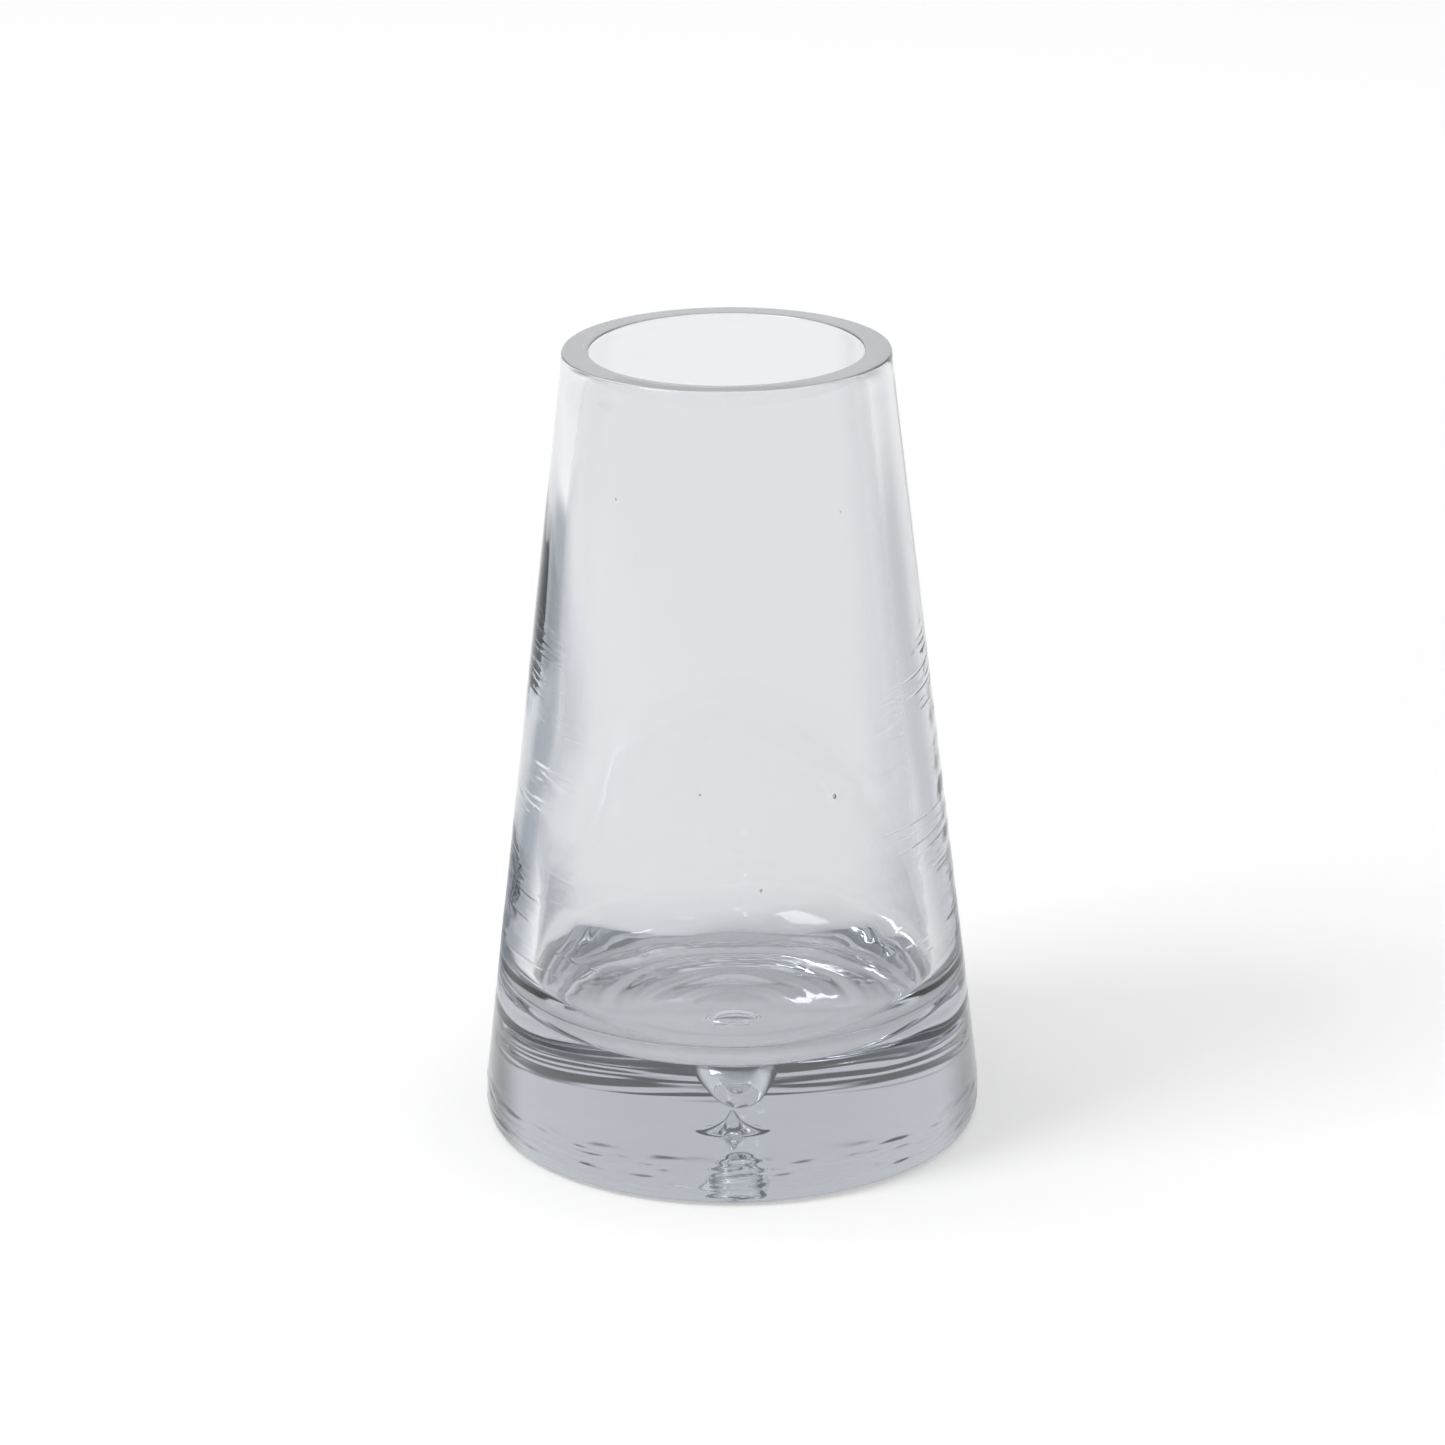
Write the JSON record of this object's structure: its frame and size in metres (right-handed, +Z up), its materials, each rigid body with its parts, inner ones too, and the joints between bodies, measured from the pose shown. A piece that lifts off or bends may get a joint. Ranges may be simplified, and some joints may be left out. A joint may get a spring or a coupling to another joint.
{
  "type": "tapered glass vase",
  "caption": "Tapered thick-walled clear glass vase with a heavy solid base that holds a goblet-shaped air bubble, and a flat cut rim.",
  "frame": {"origin": "centre of the flat underside that the vase stands on", "axes": "+Z up along the vase's axis, towards the rim; X and Y are free by symmetry"},
  "size_m": [0.0992, 0.0992, 0.1564],
  "materials": {
    "clear_glass": "polished clear glass with a faint cool grey tint in thick sections"
  },
  "bodies": {
    "root": {"blown_body": "clear_glass", "base_gather": "clear_glass"}
  },
  "joints": []
}
